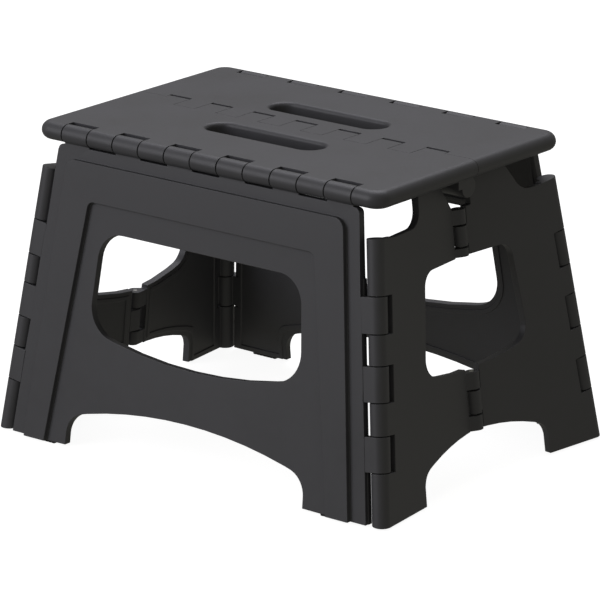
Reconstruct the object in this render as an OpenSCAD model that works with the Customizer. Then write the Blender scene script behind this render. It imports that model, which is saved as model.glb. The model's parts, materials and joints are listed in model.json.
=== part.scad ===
// Folding step stool: eight moulded plastic panels joined by knuckle hinges.
// The top splits along its middle, each end splits down its middle, and the
// whole stool folds flat: the top rises in the middle and the ends fold inward.
// Frame: +Z up, X along the handle slots, origin on the floor under the middle.

/* [Overall size] */
// Height of the top surface above the floor
stool_h = 220; // [210:1:240]
// Length of the top along the handle slots
top_l = 300; // [296:1:308]
// Width of the top across its fold
top_w = 200; // [190:1:210]
// Corner hinge line to corner hinge line at the floor, along X
corner_span = 329; // [327:1:335]

/* [Panel angles] */
// Lean of the two leg panels from upright
leg_tilt = 7.25; // [6:0.25:8]
// Lean of the corner hinge lines within the leg panels
corner_lean = 7.05; // [6.5:0.05:7.5]
// Angle between a leg panel and an end panel when open
end_turn = 84; // [82:0.5:86]

/* [Top] */
// Depth of the top, from its surface to the rim's lower edge
top_depth = 12.5; // [12:0.5:14]
// Thickness of the top's skin
top_skin = 3.5; // [3:0.1:4]
// Corner radius of the top in plan
top_corner_r = 12; // [9:1:15]
// Handle slot length
slot_l = 98; // [80:1:104]
// Handle slot width
slot_w = 21; // [18:1:24]
// Distance of each handle slot from the middle fold
slot_y = 34; // [30:1:36]
// Rounding of the handle slot's upper edge
slot_round = 3; // [2:0.5:3.5]

/* [Leg and end panels] */
// Depth of a leg or end panel, which is also the corner barrel's radius
panel_d = 6.5; // [6:0.1:7]
// Width of a panel's stiffening rim
rim_w = 3; // [2:0.5:4]
// Width of the thin edge left outside the rim
edge_w = 3; // [2:0.5:3.5]
// Thickness of a leg panel's plate, inside its shallow rim
leg_plate = 5.4; // [4:0.1:5.6]
// Thickness of an end panel's plate, inside its shallow rim
end_plate = 5.4; // [4:0.1:5.6]
// Height of the raised frame on a leg panel's outer face
frame_h = 3.2; // [1.5:0.1:3.5]
// Thickness of the top's stiffening ribs
rib_t = 1.8; // [1.2:0.1:2.4]

/* [Hinges] */
// Radius of the hinge barrels along the top's long edges
edge_r = 6.5; // [6:0.1:6.5]
// Depth of the middle fold's hinge line below the top surface
fold_drop = 18; // [18:0.5:20]
// Radius of the hinge pins
pin_r = 1.6; // [1.2:0.1:2]
// Running clearance between a pin and a knuckle that turns on it
pin_gap = 0.06; // [0.04:0.01:0.1]
// Gap between neighbouring knuckles
knuckle_gap = 0.6; // [0.5:0.05:0.8]
// Gap on each side of a leg knuckle in the top's notch
notch_gap = 0.8; // [0.5:0.1:1.2]
// Gap past the far end of the front half's fold lugs
lug_gap = 3; // [0.6:0.1:3.4]
// Distance from a corner hinge line to the leg panel's edge
leg_setback = 8.5; // [8:0.1:10]
// Distance from a corner hinge line to the end panel's edge
end_setback = 7.8; // [7.4:0.1:10]

/* [Feet] */
// Height of the rubber foot pads below the panels
pad_h = 1.5; // [1:0.25:2.5]
// Length of a rubber foot pad
pad_l = 21; // [18:1:24]

/* [Hidden] */

$fn = 48;
plastic = "#3c3c3e";
steel = "#9a9da0";
rubber = "#1d1d1e";
eps = 0.01;
big = 500;

// Clearance left between faces of neighbouring bodies.
face_gap = 0.3;
// How far a knuckle's web runs into its panel, past the thin edge.
web_overlap = edge_w + 1;

// Edge hinge line of the front leg panel, and its place in the panel's frame:
// up the slope from the floor, and out from the corner hinges' plane.
edge_y = top_w / 2 - edge_r;
edge_z = stool_h - edge_r;
edge_out = 4.1;
leg_y = edge_y + edge_z * tan(leg_tilt) - edge_out / cos(leg_tilt);
edge_s = (leg_y - edge_y) * sin(leg_tilt) + edge_z * cos(leg_tilt);

// Six leg knuckles and seven top knuckles share the long edge.
edge_pitch = 45.7;
edge_knuckle_w = edge_pitch / 2 - notch_gap;
edge_knuckles = [for (i = [0:5]) (i - 2.5) * edge_pitch];
edge_pin_l = 270;

// Middle fold: seven lugs on the front half, six on the rear half.
fold_z = stool_h - fold_drop;
fold_pitch = 37.5;
fold_lug_w = fold_pitch / 2 - face_gap;
fold_reach = 8.5;
fold_barrel_r = 7;
fold_pin_r = 2;
fold_front_lugs = [for (i = [0:6]) (i - 3) * fold_pitch];
fold_rear_lugs = [for (i = [0:5]) (i - 2.5) * fold_pitch];
fold_end_x = 3 * fold_pitch + fold_lug_w / 2;
fold_end_reach = 5;
// The front half's last barrel runs on to this far short of the top's end. Its
// web is narrower there, clear of the end panels' tongues.
fold_end_short = 4;
fold_end_root = -11;
fold_root = -fold_reach - lug_gap - rim_w;
fold_web_h = fold_drop - top_skin / 2;

// Corner knuckles along the corner hinge line, from its foot: end panels hold
// the four outer ones, leg panels the three between them.
corner_x = corner_span / 2;
leg_knuckles = [[36.8, 61], [83, 107.2], [128, 152.9]];
end_knuckles = [[-8, 36.8], [61, 83], [107.2, 128], [152.9, 190.8]];
// Strips under the leg's plate beside the lowest and highest end knuckles.
leg_edge_strips = [[-8, 36.5], [151, 164]];
strip_gap = 1.4;
corner_pin = [4, 188];

// Unit directions of the end panel's frame at rest, world Y and Z parts:
// w runs from corner to middle, u up the corner hinge line, n outward.
w_y = cos(leg_tilt) * sin(end_turn) - sin(corner_lean) * sin(leg_tilt) * cos(end_turn);
w_z = -sin(corner_lean) * cos(leg_tilt) * cos(end_turn) - sin(leg_tilt) * sin(end_turn);
u_y = cos(corner_lean) * sin(leg_tilt);
u_z = cos(corner_lean) * cos(leg_tilt);
n_y = sin(corner_lean) * sin(leg_tilt) * sin(end_turn) + cos(leg_tilt) * cos(end_turn);
n_z = sin(corner_lean) * cos(leg_tilt) * sin(end_turn) - sin(leg_tilt) * cos(end_turn);

// Middle hinge line: where the end panel's outer face meets the plane Y = 0.
mid_w = (leg_y - panel_d * n_y) / w_y;
mid_lean = atan(u_y / w_y);
mid_floor = -(mid_w * w_z + panel_d * n_z)
    / (cos(mid_lean) * u_z - sin(mid_lean) * w_z);
mid_barrel_r = 5;
mid_setback = 7.6;
// Middle knuckles by height: the outer ones on one half, the inner on the other.
mid_outer = [[34.5, 46], [63, 76], [154, 161], [176, 187.5]];
mid_inner = [[46, 63], [161, 176]];
mid_bore = [20, 200];

// Rounded outline: each point is [x, y, corner radius].
function unit(v) = v / norm(v);
function corner_arc(a, p, b, r) =
    r == 0 ? [p] :
    let (da = unit(a - p), db = unit(b - p))
    let (half = acos(da * db) / 2)
    let (c = p + unit(da + db) * r / sin(half))
    let (t0 = p + da * r / tan(half), t1 = p + db * r / tan(half))
    let (a0 = atan2(t0.y - c.y, t0.x - c.x), a1 = atan2(t1.y - c.y, t1.x - c.x))
    let (turn = a1 - a0 > 180 ? a1 - a0 - 360 : a1 - a0 < -180 ? a1 - a0 + 360 : a1 - a0)
    let (n = max(2, ceil(abs(turn) / 9)))
    [for (i = [0:n]) c + r * [cos(a0 + turn * i / n), sin(a0 + turn * i / n)]];
function round_path(pts) =
    let (n = len(pts))
    [for (i = [0:n - 1])
        let (a = pts[(i + n - 1) % n], p = pts[i], b = pts[(i + 1) % n])
        each corner_arc([a.x, a.y], [p.x, p.y], [b.x, b.y], p.z)];
// Shallow arc through (-half, y0), (0, y0 + rise), (half, y0), left to right.
function bow(half, y0, rise, n = 6) =
    let (r = (half * half + rise * rise) / (2 * abs(rise)))
    let (cy = rise > 0 ? y0 + rise - r : y0 + rise + r, a = asin(half / r) / n)
    [for (i = [-n:n]) [r * sin(a * i), cy + sign(rise) * r * cos(a * i), 0]];
function with_radius(pts, r) =
    [for (i = [0:len(pts) - 1])
        [pts[i].x, pts[i].y, i == 0 || i == len(pts) - 1 ? r : 0]];
function reversed(v) = [for (i = [len(v) - 1:-1:0]) v[i]];

// ---------- placing ----------

// Leg panel frame: X along the stool, Y up the panel, Z outward.
module place_leg() {
    translate([0, -leg_y, 0]) rotate([90 - leg_tilt, 0, 0]) children();
}
// Corner hinge frame inside the leg panel frame: Y runs up the hinge line.
module at_corner() {
    translate([corner_x, 0, 0]) rotate([0, 0, corner_lean]) children();
}
// End panel frame at rest: Y up the middle hinge line from the floor, X = 0 on
// that line and negative towards the corner, Z outward from the corner's plane.
module place_end() {
    place_leg() at_corner() rotate([0, 180 - end_turn, 0])
        translate([mid_w, 0, 0]) rotate([0, 0, mid_lean])
            translate([0, mid_floor, 0]) children();
}
// Corner hinge line inside the end panel frame.
module at_end_corner() {
    translate([0, -mid_floor, 0]) rotate([0, 0, -mid_lean])
        translate([-mid_w, 0, 0]) children();
}
module left_side() { mirror([1, 0, 0]) children(); }
module rear_side() { mirror([0, 1, 0]) children(); }

// Everything lower than the panels' feet, in the world frame.
module below_feet(z = pad_h) {
    translate([-big, -big, z - 50]) cube([2 * big, 2 * big, 50]);
}

// ---------- hinge pieces ----------

// Cylinder along Y between two stations.
module rod_y(r, span) {
    translate([0, span[0], 0]) rotate([-90, 0, 0]) cylinder(r = r, h = span[1] - span[0]);
}
// Cylinder along X, centred.
module rod_x(r, l) {
    rotate([0, 90, 0]) cylinder(r = r, h = l, center = true);
}
// Corner knuckle: barrel on the hinge line and a web to the panel's edge.
// reach < 0 puts the panel on the -X side.
module corner_knuckle(span, reach) {
    s = [span[0] + knuckle_gap / 2, span[1] - knuckle_gap / 2];
    rod_y(panel_d, s);
    translate([min(0, reach), s[0], face_gap])
        cube([abs(reach), s[1] - s[0], panel_d - face_gap]);
}

// Height of the strip that closes a panel's recess at its feet.
foot_strip_h = 5;

// Plan of a panel's rim, with the strip that closes its feet. The children are
// the rim's outline and what lies inside it.
module rim_plan() {
    difference() {
        children(0);
        difference() {
            children(1);
            translate([-big, foot_strip_h - big]) square([2 * big, big]);
        }
    }
}

// ---------- top ----------

// Half section of a corner of the top: a full round of two radii.
function top_profile() =
    let (low_r = top_depth - edge_r)
    concat([[0, stool_h - top_depth]],
        [for (a = [-90:15:-15]) [top_corner_r - low_r + low_r * cos(a), edge_z + low_r * sin(a)]],
        [for (a = [0:9:90]) [top_corner_r - edge_r + edge_r * cos(a), edge_z + edge_r * sin(a)]],
        [[0, stool_h]]);

// The whole top as one slab with rounded corners and a rounded rim.
module top_slab() {
    hull()
        for (x = [-1, 1], y = [-1, 1])
            translate([x * (top_l / 2 - top_corner_r), y * (top_w / 2 - top_corner_r), 0])
                rotate_extrude($fn = 40) polygon(top_profile());
}

// Plans of the two halves: their lugs interlock across the fold line.
module front_plan() {
    translate([-big, -big]) square([2 * big, big - fold_reach - face_gap]);
    for (x = fold_front_lugs)
        translate([x - fold_lug_w / 2, -big]) square([fold_lug_w, big + fold_reach]);
    for (side = [0, 1]) mirror([side, 0])
        translate([fold_end_x - eps, -big]) square([big, big + fold_end_reach]);
}
module rear_plan() {
    translate([-big, fold_reach + lug_gap]) square([2 * big, big]);
    for (x = fold_rear_lugs)
        translate([x - fold_lug_w / 2, -fold_reach]) square([fold_lug_w, big]);
    for (side = [0, 1]) mirror([side, 0])
        translate([fold_end_x + face_gap, fold_end_reach + face_gap]) square([big, big]);
}

// Handle slot outline grown by m.
module slot_plan(m = 0) {
    for (x = [-1, 1]) translate([x * (slot_l - slot_w) / 2, 0]) circle(r = slot_w / 2 + m);
    square([slot_l - slot_w, slot_w + 2 * m], center = true);
}
// Cutter that rounds the slot's upper edge.
module slot_round_cut() {
    inner = slot_w / 2 - eps;
    profile = concat([[inner, stool_h + 1], [inner, stool_h - slot_round]],
        [for (a = [0:15:90]) [slot_w / 2 + slot_round * (1 - cos(a)),
            stool_h - slot_round * (1 - sin(a))]],
        [[slot_w / 2 + slot_round, stool_h + 1]]);
    for (x = [-1, 1]) translate([x * (slot_l - slot_w) / 2, 0, 0])
        rotate_extrude() polygon(profile);
    for (y = [0, 1]) mirror([0, y, 0])
        rotate([90, 0, 90]) linear_extrude(slot_l - slot_w, center = true) polygon(profile);
}

// The top's ribs stop this far above the rim's lower edge.
rib_rise = 2;
long_rib_ys = [-70, -slot_y - slot_w / 2 - 12, -18];
// Wall between the hollow underside and the notches for the leg's knuckles.
notch_wall = 2.5;

// Stiffening ribs under the front half of the top. The long ones run between
// the outermost cross ribs.
module top_ribs() {
    low = stool_h - top_depth + rib_rise;
    tall = stool_h - top_skin / 2 - low;
    near = -top_w / 2 + 2 * edge_r;
    for (x = fold_front_lugs)
        translate([x - rib_t / 2, near, low]) cube([rib_t, -near - fold_reach, tall]);
    for (y = long_rib_ys)
        translate([-3 * fold_pitch, y - rib_t / 2, low]) cube([6 * fold_pitch, rib_t, tall]);
}

// Barrel of the middle fold and a web up into the top, from x = 0 to x = l and
// from y = near to y = far.
module fold_lug(l, near, far) {
    translate([l / 2, 0, fold_z]) rod_x(fold_barrel_r, l);
    translate([0, near, fold_z]) cube([l, far - near, fold_web_h]);
}

// One half of the top, drawn on the front side. The fold's lugs are lug_xs.
module top_half(lug_xs) {
    low = stool_h - top_depth;
    cave_y0 = -top_w / 2 + 2 * edge_r + notch_wall;
    difference() {
        union() {
            difference() {
                intersection() {
                    top_slab();
                    translate([0, 0, low - 1]) linear_extrude(top_depth + 2) children();
                }
                difference() {
                    translate([-top_l / 2 + rim_w, cave_y0, low - 1])
                        cube([top_l - 2 * rim_w, fold_root - cave_y0, top_depth - top_skin + 1]);
                    top_ribs();
                    translate([0, -slot_y, low - 2]) linear_extrude(top_depth) slot_plan(rim_w);
                }
            }
            for (x = lug_xs)
                translate([x - fold_lug_w / 2, 0, 0])
                    fold_lug(fold_lug_w, fold_root, fold_reach);
        }
        translate([0, -slot_y, low - 1]) linear_extrude(top_depth + 2) slot_plan();
        translate([0, -slot_y, 0]) slot_round_cut();
        // Full round under the long edge, so that it can turn above the leg panel.
        difference() {
            translate([-big / 2, -top_w / 2 - 1, low - 1])
                cube([big, edge_r + 1, top_depth - edge_r + 1]);
            translate([0, -edge_y, edge_z]) rod_x(edge_r, big);
        }
        // Notches for the leg panel's knuckles.
        for (x = edge_knuckles)
            translate([x - edge_pitch / 4 - notch_gap / 2, -top_w / 2 - 1, low - 1])
                cube([edge_pitch / 2 + notch_gap, 2 * edge_r + 1 + knuckle_gap, top_depth + 2]);
        translate([0, -edge_y, edge_z]) rod_x(pin_r + pin_gap, edge_pin_l + 1);
    }
}

module top_front() {
    color(plastic) difference() {
        union() {
            top_half(fold_front_lugs) front_plan();
            for (side = [0, 1]) mirror([side, 0, 0])
                translate([fold_end_x - eps, 0, 0])
                    fold_lug(top_l / 2 - fold_end_short - fold_end_x,
                        fold_end_root, fold_end_reach);
        }
        translate([0, 0, fold_z]) rod_x(fold_pin_r, 2 * fold_end_x);
    }
}
module top_rear() {
    color(plastic) difference() {
        rear_side() top_half(fold_rear_lugs) rear_side() rear_plan();
        translate([0, 0, fold_z]) rod_x(fold_pin_r + pin_gap, big);
    }
}

// ---------- leg panels ----------

// Half width of the panel at height y, less an inset from its edge.
function leg_half(y, inset = 0) =
    corner_x - y * tan(corner_lean) - (leg_setback + inset) / cos(corner_lean);
leg_top = edge_s - edge_r - knuckle_gap;
leg_corner_r = 4;
// Everything is drawn this far below the floor and then cut to its foot.
below = 20;

// The raised frame runs between two outlines with straight sides. Each is
// [half width at the floor, sideways slope, top, corner radius].
frame_outer = [143.1, 0.1157, 199, 8];
frame_inner = [124.6, 0.1535, 172.7, 5];

window_top = 153.7;
window_low = 85.5;
window_sag = -12.4;
window_slope = 0.09;
window_top_half = 87;
window_top_r = 20;
window_low_r = 22;
function window_half(y) = window_top_half + (window_top - y) * window_slope;
// The arch sits a little to one side of the middle.
arch_x = -2.5;
arch_half = 105.2;
arch_shoulder = 21.4;
arch_rise = 14.8;
arch_r = 17;

function window_path(m = 0) = concat(
    [[window_half(window_top) + m, window_top + m, window_top_r + m],
     [-window_half(window_top) - m, window_top + m, window_top_r + m]],
    with_radius(bow(window_half(window_low) + m, window_low - m, window_sag, 4),
        window_low_r + m));
function arch_path(m = 0) = concat(
    [[arch_half + m, -below, 0]],
    reversed(with_radius(bow(arch_half - 1 + m, arch_shoulder + m, arch_rise), arch_r - m)),
    [[-arch_half - m, -below, 0]]);

module leg_outline(inset = 0) {
    top = leg_top - inset;
    polygon(round_path([
        [leg_half(-below, inset), -below, 0], [leg_half(top, inset), top, leg_corner_r],
        [-leg_half(top, inset), top, leg_corner_r], [-leg_half(-below, inset), -below, 0]]));
}
// One of the frame's two outlines.
module frame_plan(line) {
    foot = line[0] + below * line[1];
    head = line[0] - line[2] * line[1];
    polygon(round_path([
        [foot, -below, 0], [head, line[2], line[3]],
        [-head, line[2], line[3]], [-foot, -below, 0]]));
}
module leg_openings(m = 0) {
    polygon(round_path(window_path(m)));
    translate([arch_x, 0]) polygon(round_path(arch_path(m)));
}
// The panel with its openings, drawn back by inset from every edge.
module leg_plan(inset = 0) {
    difference() {
        leg_outline(inset);
        leg_openings(inset);
    }
}
// How far the web of a leg's top knuckle runs down its outer and inner face.
knuckle_web = 14;
knuckle_back = 5.2;

// Profile across a leg panel's top knuckle: barrel and a web that runs down
// flush with the panel's outer face. X is outward, Y is up the panel.
module edge_knuckle_profile() {
    translate([edge_out, edge_s]) circle(r = edge_r);
    polygon([[panel_d, edge_s], [panel_d, edge_s - knuckle_web],
        [face_gap, edge_s - knuckle_web], [face_gap, edge_s - knuckle_back],
        [edge_out - edge_r, edge_s]]);
}

// Strip under the plate along the panel's edge, beside the end panel's knuckles.
module leg_edge_strip(span) {
    far = -leg_setback - web_overlap;
    translate([far, span[0], face_gap])
        cube([-panel_d - strip_gap - far, span[1] - span[0], panel_d - leg_plate / 2 - face_gap]);
}
// Plan of the strip behind the plate's top edge, between the edge's rounded
// corners. It shuts the slit under the long edge's barrels.
module leg_top_strip() {
    half = leg_half(leg_top, leg_corner_r);
    translate([-half, leg_top - web_overlap]) square([2 * half, web_overlap]);
}

module leg_panel_flat() {
    difference() {
        union() {
            // Plate, and the raised frame on its outer face.
            translate([0, 0, panel_d - leg_plate]) linear_extrude(leg_plate) leg_outline();
            translate([0, 0, panel_d - leg_plate]) linear_extrude(leg_plate + frame_h)
                difference() {
                    frame_plan(frame_outer);
                    frame_plan(frame_inner);
                }
            // Rim on the inner face.
            translate([0, 0, face_gap]) linear_extrude(panel_d - leg_plate - face_gap + eps) {
                rim_plan() {
                    leg_plan(edge_w);
                    leg_plan(edge_w + rim_w);
                }
                leg_top_strip();
            }
            for (x = edge_knuckles)
                translate([x - edge_knuckle_w / 2, 0, 0]) rotate([0, -90, 180]) mirror([0, 1, 0])
                    linear_extrude(edge_knuckle_w) edge_knuckle_profile();
            for (side = [0, 1]) mirror([side, 0, 0]) at_corner() {
                for (s = leg_knuckles) corner_knuckle(s, -leg_setback - web_overlap);
                for (s = leg_edge_strips) leg_edge_strip(s);
            }
        }
        translate([0, 0, -1]) linear_extrude(panel_d + 2) leg_openings();
        translate([0, edge_s, edge_out]) rod_x(pin_r, big);
        for (side = [0, 1]) mirror([side, 0, 0]) at_corner() rod_y(pin_r, corner_pin);
    }
}
pad_x = 128;
pad_w = 5.2;
pad_inset = 0.6;
pad_let_in = 1.2;

// A foot pad is let into the leg panel's foot and stands out below it.
module foot_pad_box() {
    translate([pad_x - pad_l / 2, -leg_y - panel_d + pad_inset, 0])
        cube([pad_l, pad_w, pad_h + pad_let_in]);
}
module leg_front() {
    color(plastic) difference() {
        place_leg() leg_panel_flat();
        below_feet();
        for (side = [0, 1]) mirror([side, 0, 0]) foot_pad_box();
    }
}
module leg_rear() { rear_side() leg_front(); }

// ---------- end panels ----------

end_window_top = 154;
end_window_low = 86;
end_window_half = 47;
end_window_low_half = 57;
end_window_sag = -8;
end_window_r = [11, 13];
end_arch_half = 69;
end_arch_side = 14;
end_arch_shoulder = 22;
end_arch_rise = 13;
end_arch_r = 12;

// The end panel's openings, drawn as seen from outside in the end frame; the
// middle line is X = 0 and only X < 0 belongs to this half.
module end_window(m = 0) {
    half = end_window_half + m;
    high = end_window_top + m;
    r = end_window_r + [m, m];
    polygon(round_path(concat(
        [[half, high, r[0]], [-half, high, r[0]]],
        with_radius(bow(end_window_low_half + m, end_window_low - m, end_window_sag, 3), r[1]))));
}
module end_arch(m = 0) {
    half = end_arch_half + m;
    polygon(round_path(concat(
        [[half + 1, -below, 0], [half, end_arch_side, 0]],
        reversed(with_radius(bow(half - 2, end_arch_shoulder + m, end_arch_rise),
            end_arch_r - m)),
        [[-half, end_arch_side, 0], [-half - 1, -below, 0]])));
}
tongue_y = 206;
tongue_x = 48;
tongue_r = 1.5;
shoulder_y = 186.3;
shoulder_x = 130;
rise_outer = [48, 11];
rise_inner = [62, 16];
drop_outer = [19.5, 188];
drop_inner = [12.5, 187];

// Upper outline: low shoulder at the corner, a tongue that reaches up to the
// top, and a drop to the middle hinge. The half with the outer knuckles rises
// squarely to its tongue and slopes down to them; the other half rises on a
// slope and has a small shelf beside them.
function tongue_rise(outer, inset) =
    let (foot = outer ? rise_outer : rise_inner)
    [[-foot.x + inset, shoulder_y - inset, foot.y],
        [-tongue_x + inset, tongue_y - inset, tongue_r]];
function tongue_drop(outer, inset) = outer
    ? [[-drop_outer.x - inset, tongue_y - inset, tongue_r],
        [-mid_setback - inset, drop_outer.y, 0]]
    : [[-drop_inner.x - inset, tongue_y - inset, tongue_r],
        [-drop_inner.x - inset, drop_inner.y - inset, 1],
        [-mid_setback - inset, drop_inner.y - inset, 0]];
module end_outline(outer, inset = 0) {
    polygon(round_path(concat(
        [[-shoulder_x, -below, 0], [-shoulder_x, shoulder_y - inset, 0]],
        tongue_rise(outer, inset),
        tongue_drop(outer, inset),
        [[-mid_setback - inset, -below, 0]])));
}
// The part of the end panel's plane that lies inside the corner hinge.
module end_corner_keep(inset = 0) {
    translate([0, -mid_floor]) rotate(-mid_lean)
        translate([-mid_w + end_setback + inset, -big / 2]) square([big, big]);
}
module end_plan(outer, inset = 0) {
    difference() {
        intersection() {
            end_outline(outer, inset);
            end_corner_keep(inset);
        }
        end_window(inset);
        end_arch(inset);
    }
}
// Middle knuckle: a barrel on the hinge line, a ramp up to it from the panel's
// outer face and a web down to its rim.
module mid_knuckle(span) {
    s = [span[0] + knuckle_gap, span[1] - knuckle_gap];
    r = mid_barrel_r;
    web = mid_setback + web_overlap;
    translate([0, 0, panel_d]) {
        rod_y(r, s);
        translate([0, s[1], 0]) rotate([90, 0, 0]) linear_extrude(s[1] - s[0])
            polygon([[0, 0], [-r / sqrt(2), r / sqrt(2)], [-r * sqrt(2), 0]]);
        translate([-web, s[0], -r]) cube([web, s[1] - s[0], r]);
    }
}
// One half of an end, on the front right. The outer half holds the outer
// knuckles of the middle hinge and grips its pins.
module end_half(outer) {
    knuckles = outer ? mid_outer : mid_inner;
    bored_r = outer ? pin_r : pin_r + pin_gap;
    color(plastic) difference() {
        place_end() difference() {
            union() {
                translate([0, 0, panel_d - end_plate]) linear_extrude(end_plate) end_plan(outer);
                translate([0, 0, face_gap]) linear_extrude(panel_d - end_plate - face_gap + eps)
                    rim_plan() {
                        end_plan(outer, edge_w);
                        end_plan(outer, edge_w + rim_w);
                    }
                at_end_corner()
                    for (s = end_knuckles) corner_knuckle(s, end_setback + web_overlap);
                for (s = knuckles) mid_knuckle(s);
            }
            at_end_corner() rod_y(pin_r + pin_gap, [corner_pin[0] - 1, corner_pin[1] + 1]);
            translate([0, 0, panel_d]) rod_y(bored_r, mid_bore);
        }
        below_feet();
    }
}
module end_right_front() { end_half(true); }
module end_right_rear() { rear_side() end_half(false); }
module end_left_front() { left_side() end_half(false); }
module end_left_rear() { left_side() rear_side() end_half(true); }

// ---------- pins ----------

module pin_fold() {
    color(steel) translate([0, 0, fold_z]) rod_x(fold_pin_r, 2 * fold_end_x);
}
module pin_edge_front() {
    color(steel) translate([0, -edge_y, edge_z]) rod_x(pin_r, edge_pin_l);
}
module pin_edge_rear() { rear_side() pin_edge_front(); }
module pin_corner_front_right() {
    color(steel) place_leg() at_corner() rod_y(pin_r, corner_pin);
}
module pin_corner_front_left() { left_side() pin_corner_front_right(); }
module pin_corner_rear_right() { rear_side() pin_corner_front_right(); }
module pin_corner_rear_left() { left_side() rear_side() pin_corner_front_right(); }
// Stub pins: one in each outer middle knuckle.
module pins_middle_right() {
    color(steel) place_end() translate([0, 0, panel_d])
        for (s = mid_outer)
            rod_y(pin_r, [s[0] + knuckle_gap, s[1] - knuckle_gap]);
}
module pins_middle_left() { left_side() rear_side() pins_middle_right(); }

// ---------- feet ----------

module foot_pad_front_right() { color(rubber) foot_pad_box(); }
module foot_pad_front_left() { left_side() foot_pad_front_right(); }
module foot_pad_rear_right() { rear_side() foot_pad_front_right(); }
module foot_pad_rear_left() { left_side() rear_side() foot_pad_front_right(); }

top_front();
top_rear();
leg_front();
leg_rear();
end_right_front();
end_right_rear();
end_left_front();
end_left_rear();
pin_fold();
pin_edge_front();
pin_edge_rear();
pin_corner_front_right();
pin_corner_front_left();
pin_corner_rear_right();
pin_corner_rear_left();
pins_middle_right();
pins_middle_left();
foot_pad_front_right();
foot_pad_front_left();
foot_pad_rear_right();
foot_pad_rear_left();
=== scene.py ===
"""Looks of the folding step stool.

The moulded panels are rebuilt from the CAD meshes with softly rounded edges,
the foot pads get their ribbed treads, and every piece gets a procedural
material. All lengths are metres, in the CAD frame: +Z up, X along the slots.
"""

import json
import math

import bmesh
import bpy
from mathutils import Matrix, Vector

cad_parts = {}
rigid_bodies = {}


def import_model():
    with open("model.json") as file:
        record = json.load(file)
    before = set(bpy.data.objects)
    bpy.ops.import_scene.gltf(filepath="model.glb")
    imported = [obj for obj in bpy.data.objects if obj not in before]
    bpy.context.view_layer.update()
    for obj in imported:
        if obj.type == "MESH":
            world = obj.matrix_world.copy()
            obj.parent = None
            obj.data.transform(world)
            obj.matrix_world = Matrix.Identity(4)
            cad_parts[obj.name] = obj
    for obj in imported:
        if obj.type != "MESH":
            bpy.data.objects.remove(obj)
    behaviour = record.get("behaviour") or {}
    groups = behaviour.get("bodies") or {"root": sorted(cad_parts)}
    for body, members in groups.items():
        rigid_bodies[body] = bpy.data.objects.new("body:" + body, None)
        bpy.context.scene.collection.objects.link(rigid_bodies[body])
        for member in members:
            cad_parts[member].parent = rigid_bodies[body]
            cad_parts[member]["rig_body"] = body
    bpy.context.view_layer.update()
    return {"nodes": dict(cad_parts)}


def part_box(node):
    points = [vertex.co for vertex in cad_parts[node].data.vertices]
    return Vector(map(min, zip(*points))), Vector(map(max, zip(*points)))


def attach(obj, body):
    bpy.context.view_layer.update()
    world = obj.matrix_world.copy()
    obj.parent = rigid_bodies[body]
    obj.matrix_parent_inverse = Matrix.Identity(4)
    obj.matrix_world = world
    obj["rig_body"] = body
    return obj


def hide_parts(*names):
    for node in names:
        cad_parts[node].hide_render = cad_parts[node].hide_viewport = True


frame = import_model()

MM = 0.001
PANELS = (
    "top_front", "top_rear", "leg_front", "leg_rear",
    "end_right_front", "end_right_rear", "end_left_front", "end_left_rear",
)
FOOT_PADS = tuple(n for n in sorted(frame["nodes"]) if n.startswith("foot_pad"))
PINS = tuple(n for n in sorted(frame["nodes"]) if n.startswith("pin"))

# Rounding of the mouldings' edges: finer on the top, whose halves meet closely.
EDGE_ROUND = 0.4 * MM
TOP_ROUND = 0.2 * MM
PAD_ROUND = 0.15 * MM
ROUND_SEGMENTS = 2
# Edges turned by more than this are rounded.
EDGE_ANGLE = math.radians(28)
# Corners closer than this are one corner.
WELD = 0.002 * MM
# The part's middle, which the lights face, and the lights' faintly blue white.
MIDDLE = (0, 0, 0.12)
SOFT_WHITE = (0.94, 0.935, 1.0)


# ---------- camera, light and floor ----------

def make_camera():
    """A long lens about a metre up, off the stool's front right corner."""
    azimuth, elevation, roll = (math.radians(a) for a in (39.2, 17.21, -0.32))
    distance = 3.58432
    target = Vector((-0.2432, 0.3, -0.0235))
    back = Vector((
        math.sin(azimuth) * math.cos(elevation),
        -math.cos(azimuth) * math.cos(elevation),
        math.sin(elevation),
    ))
    across = (-back).cross(Vector((0, 0, 1))).normalized()
    up = across.cross(-back)
    right = math.cos(roll) * across + math.sin(roll) * up
    top = math.cos(roll) * up - math.sin(roll) * across
    data = bpy.data.cameras.new("camera")
    data.sensor_width = 36
    data.lens = 278.02
    data.clip_end = 50
    camera = bpy.data.objects.new("camera", data)
    turn = Matrix((right, top, back)).transposed().to_4x4()
    camera.matrix_world = Matrix.Translation(target + distance * back) @ turn
    bpy.context.scene.collection.objects.link(camera)
    bpy.context.scene.camera = camera


def softbox(name, place, size, power):
    """A square area light at place, turned towards the part."""
    data = bpy.data.lights.new(name, "AREA")
    data.shape = "SQUARE"
    data.size = size
    data.energy = power
    data.color = SOFT_WHITE
    light = bpy.data.objects.new(name, data)
    direction = Vector(MIDDLE) - Vector(place)
    light.rotation_euler = direction.to_track_quat("-Z", "Y").to_euler()
    light.location = place
    bpy.context.scene.collection.objects.link(light)


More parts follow.
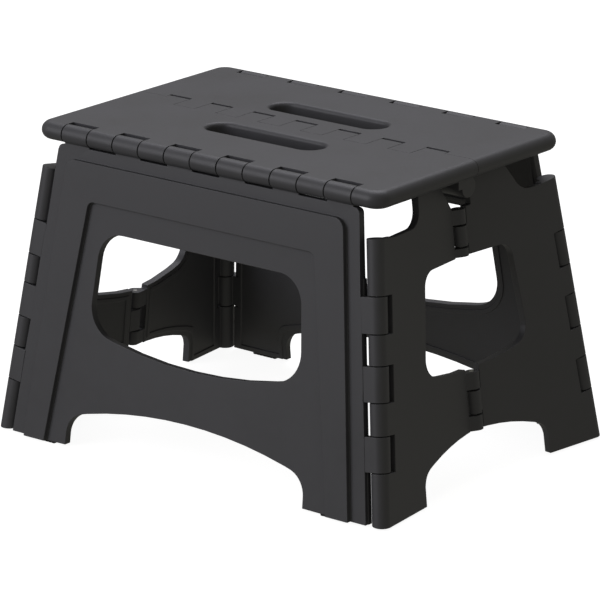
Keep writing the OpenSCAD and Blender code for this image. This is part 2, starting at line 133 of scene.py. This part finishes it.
def make_lights():
    """A large box above and behind, another at the front left, and dim grey
    surroundings that the camera sees as white."""
    softbox("overhead", (-0.5, 0.8, 2.2), 1.8, 35.5)
    softbox("front_left", (-1.3, -2.2, 1.1), 1.6, 28.5)
    world = bpy.data.worlds.new("surroundings")
    world.use_nodes = True
    bpy.context.scene.world = world
    nodes, links = world.node_tree.nodes, world.node_tree.links
    dim = nodes["Background"]
    dim.inputs["Color"].default_value = (0.24, 0.235, 0.205, 1)
    white = nodes.new("ShaderNodeBackground")
    white.inputs["Color"].default_value = (1, 1, 1, 1)
    seen = nodes.new("ShaderNodeLightPath")
    mix = nodes.new("ShaderNodeMixShader")
    links.new(seen.outputs["Is Camera Ray"], mix.inputs[0])
    links.new(dim.outputs[0], mix.inputs[1])
    links.new(white.outputs[0], mix.inputs[2])
    links.new(mix.outputs[0], nodes["World Output"].inputs["Surface"])


def make_floor():
    """A plain white floor, with no light of its own on the stool."""
    half = 12
    mesh = bpy.data.meshes.new("floor")
    corners = [(-half, -half, 0), (half, -half, 0), (half, half, 0), (-half, half, 0)]
    mesh.from_pydata(corners, [], [(0, 1, 2, 3)])
    floor = bpy.data.objects.new("floor", mesh)
    bpy.context.scene.collection.objects.link(floor)
    material = bpy.data.materials.new("floor_white")
    material.use_nodes = True
    shader = material.node_tree.nodes["Principled BSDF"]
    shader.inputs["Base Color"].default_value = (0.3, 0.3, 0.3, 1)
    shader.inputs["Roughness"].default_value = 1
    shader.inputs["Specular IOR Level"].default_value = 0
    shader.inputs["Emission Color"].default_value = (1, 1, 1, 1)
    shader.inputs["Emission Strength"].default_value = 0.93
    mesh.materials.append(material)
    floor.visible_diffuse = False
    floor.visible_glossy = False


# ---------- materials ----------

class Nodes:
    """A material's node tree, with short calls to add and join its nodes."""

    def __init__(self, name):
        self.material = bpy.data.materials.new(name)
        self.material.use_nodes = True
        self.tree = self.material.node_tree
        self.shader = self.tree.nodes["Principled BSDF"]

    def add(self, kind, inputs=(), **settings):
        node = self.tree.nodes.new("ShaderNode" + kind)
        for key, value in settings.items():
            setattr(node, key, value)
        for key, value in dict(inputs).items():
            if isinstance(value, bpy.types.NodeSocket):
                self.tree.links.new(value, node.inputs[key])
            else:
                node.inputs[key].default_value = value
        return node

    def join(self, output, name):
        self.tree.links.new(output, self.shader.inputs[name])

    def noise(self, place, scale, detail=2, roughness=0.5):
        inputs = {"Vector": place, "Scale": scale, "Detail": detail, "Roughness": roughness}
        return self.add("TexNoise", inputs).outputs["Fac"]

    def ramp(self, value, low, high, from_low=0.0, from_high=1.0):
        """value, from from_low..from_high, stretched to low..high."""
        inputs = {"Value": value, 1: from_low, 2: from_high, 3: low, 4: high}
        return self.add("MapRange", inputs, clamp=True).outputs["Result"]

    def math(self, operation, *values):
        return self.add("Math", dict(enumerate(values)), operation=operation).outputs[0]

    def blend(self, share, first, second):
        """A colour that goes from first to second as share goes from 0 to 1."""
        node = self.add("Mix", data_type="RGBA")
        for index, value in ((0, share), (6, first), (7, second)):
            if isinstance(value, bpy.types.NodeSocket):
                self.tree.links.new(value, node.inputs[index])
            else:
                node.inputs[index].default_value = value
        return node.outputs[2]

    def bump(self, height, distance, strength, normal=None):
        inputs = {"Height": height, "Distance": distance, "Strength": strength}
        if normal is not None:
            inputs["Normal"] = normal
        return self.add("Bump", inputs).outputs["Normal"]


def grey(value, blue=0.0):
    return (value, value, value * (1 + blue), 1)


def moulded_plastic():
    """Charcoal plastic from a lightly etched mould, paler along worn edges."""
    n = Nodes("moulded_charcoal_plastic")
    place = n.add("TexCoord").outputs["Object"]
    clouds = n.noise(place, 22, 3)
    patches = n.noise(place, 130, 4, 0.6)
    grain = n.noise(place, 2600, 2)
    fine = n.noise(place, 6500, 1)
    bevel = n.add("Bevel", {"Radius": 0.9 * MM}, samples=4).outputs["Normal"]
    flat = n.add("NewGeometry").outputs["Normal"]
    along = n.add("VectorMath", {0: bevel, 1: flat}, operation="DOT_PRODUCT").outputs["Value"]
    edge = n.ramp(along, 1.0, 0.0, 0.86, 0.995)
    worn = n.math("MULTIPLY", edge, n.ramp(patches, 0.25, 1.0, 0.35, 0.65))
    body = n.blend(n.ramp(clouds, 0, 1, 0.3, 0.7), grey(0.047, 0.14), grey(0.054, 0.14))
    body = n.blend(n.ramp(patches, 0, 0.35, 0.4, 0.75), body, grey(0.061, 0.13))
    n.join(n.blend(n.math("MULTIPLY", worn, 0.45), body, grey(0.095, 0.06)), "Base Color")
    satin = n.ramp(n.math("ADD", clouds, n.math("MULTIPLY", patches, 0.6)), 0.46, 0.57, 0.5, 1.1)
    n.join(n.math("SUBTRACT", satin, n.math("MULTIPLY", worn, 0.08)), "Roughness")
    height = n.math("ADD", grain, n.math("MULTIPLY", fine, 0.5))
    normal = n.bump(clouds, 0.25 * MM, 0.12)
    n.join(n.bump(height, 0.035 * MM, 0.35, normal), "Normal")
    n.shader.inputs["IOR"].default_value = 1.49
    return n.material


def drawn_steel(name, along):
    """Bright drawn wire: fine lines run along the wire's own direction."""
    n = Nodes(name)
    place = n.add("TexCoord").outputs["Object"]
    across = [1500 if abs(a) < 0.5 else 25 for a in along]
    lines = n.noise(n.add("Mapping", {"Vector": place, "Scale": across}).outputs[0], 1, 2)
    tarnish = n.noise(place, 160, 3)
    n.join(n.blend(n.ramp(tarnish, 0, 1, 0.4, 0.7), grey(0.50), grey(0.34, -0.04)), "Base Color")
    n.join(n.ramp(lines, 0.24, 0.42, 0.3, 0.7), "Roughness")
    n.join(n.bump(lines, 0.01 * MM, 0.4), "Normal")
    n.shader.inputs["Metallic"].default_value = 1
    return n.material


def pad_rubber():
    """Matt black rubber, a little dusty."""
    n = Nodes("foot_pad_rubber")
    place = n.add("TexCoord").outputs["Object"]
    dust = n.noise(place, 420, 4, 0.65)
    grain = n.noise(place, 5200, 2)
    n.join(n.blend(n.ramp(dust, 0, 1, 0.45, 0.75), grey(0.017), grey(0.034, -0.05)), "Base Color")
    n.join(n.ramp(dust, 0.72, 0.88, 0.3, 0.7), "Roughness")
    n.join(n.bump(grain, 0.04 * MM, 0.5), "Normal")
    return n.material


# ---------- pieces ----------

def add_piece(name, mesh, node, material):
    """Puts a finished mesh in the scene in place of a CAD node."""
    piece = bpy.data.objects.new(name, mesh)
    bpy.context.scene.collection.objects.link(piece)
    mesh.materials.clear()
    mesh.materials.append(material)
    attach(piece, frame["nodes"][node]["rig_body"])
    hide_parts(node)
    return piece


def welded_copy(node):
    """A copy of a CAD node's mesh whose faces share their corners."""
    mesh = frame["nodes"][node].data.copy()
    for name in ("custom_normal", "sharp_face", "sharp_edge"):
        if name in mesh.attributes:
            mesh.attributes.remove(mesh.attributes[name])
    shape = bmesh.new()
    shape.from_mesh(mesh)
    bmesh.ops.remove_doubles(shape, verts=shape.verts, dist=WELD)
    for face in shape.faces:
        face.smooth = True
    shape.to_mesh(mesh)
    shape.free()
    return mesh


def rounded(mesh, width):
    """The mesh with its sharp edges rounded, and its large faces kept flat."""
    holder = bpy.data.objects.new("holder", mesh)
    bpy.context.scene.collection.objects.link(holder)
    bevel = holder.modifiers.new("round", "BEVEL")
    bevel.width = width
    bevel.segments = ROUND_SEGMENTS
    bevel.limit_method = "ANGLE"
    bevel.angle_limit = EDGE_ANGLE
    bevel.use_clamp_overlap = False
    bevel.loop_slide = False
    weighted = holder.modifiers.new("normals", "WEIGHTED_NORMAL")
    weighted.mode = "FACE_AREA"
    weighted.weight = 90
    seen = holder.evaluated_get(bpy.context.evaluated_depsgraph_get())
    made = bpy.data.meshes.new_from_object(seen)
    bpy.data.objects.remove(holder)
    return made


def make_panel(node, material):
    width = TOP_ROUND if node.startswith("top_") else EDGE_ROUND
    mesh = rounded(welded_copy(node), width)
    return add_piece(node + "_moulding", mesh, node, material)


def make_foot_pad(node, material):
    """A rubber pad with rounded edges and a tread of fine ribs under it."""
    low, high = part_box(node)
    ribs = 7
    groove = 0.5 * MM
    depth = 0.5 * MM
    pitch = (high.x - low.x) / ribs
    outline = [(low.x, high.z), (low.x, low.z + depth)]
    for i in range(ribs):
        start = low.x + i * pitch
        outline += [
            (start + groove / 2, low.z + depth), (start + groove / 2, low.z),
            (start + pitch - groove / 2, low.z), (start + pitch - groove / 2, low.z + depth),
        ]
    outline += [(high.x, low.z + depth), (high.x, high.z)]
    shape = bmesh.new()
    near = [shape.verts.new((x, low.y, z)) for x, z in outline]
    far = [shape.verts.new((x, high.y, z)) for x, z in outline]
    shape.faces.new(near)
    shape.faces.new(list(reversed(far)))
    for i in range(len(outline)):
        j = (i + 1) % len(outline)
        shape.faces.new((near[j], near[i], far[i], far[j]))
    bmesh.ops.recalc_face_normals(shape, faces=shape.faces)
    for face in shape.faces:
        face.smooth = True
    mesh = bpy.data.meshes.new(node)
    shape.to_mesh(mesh)
    shape.free()
    return add_piece(
        node + "_tread", rounded(mesh, PAD_ROUND), node, material)


def dress_pins():
    """The CAD pins are shown as they are, in drawn steel."""
    lengthwise = drawn_steel("drawn_steel_along_x", (1, 0, 0))
    upright = drawn_steel("drawn_steel_upright", (0, 0, 1))
    for node in PINS:
        pin = frame["nodes"][node]
        low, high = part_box(node)
        size = high - low
        pin.data.materials.clear()
        pin.data.materials.append(lengthwise if size.x > size.z else upright)


# ---------- the scene ----------

bpy.context.scene.view_settings.view_transform = "Standard"
make_camera()
make_lights()
make_floor()

plastic = moulded_plastic()
rubber = pad_rubber()
for name in PANELS:
    make_panel(name, plastic)
for name in FOOT_PADS:
    make_foot_pad(name, rubber)
dress_pins()
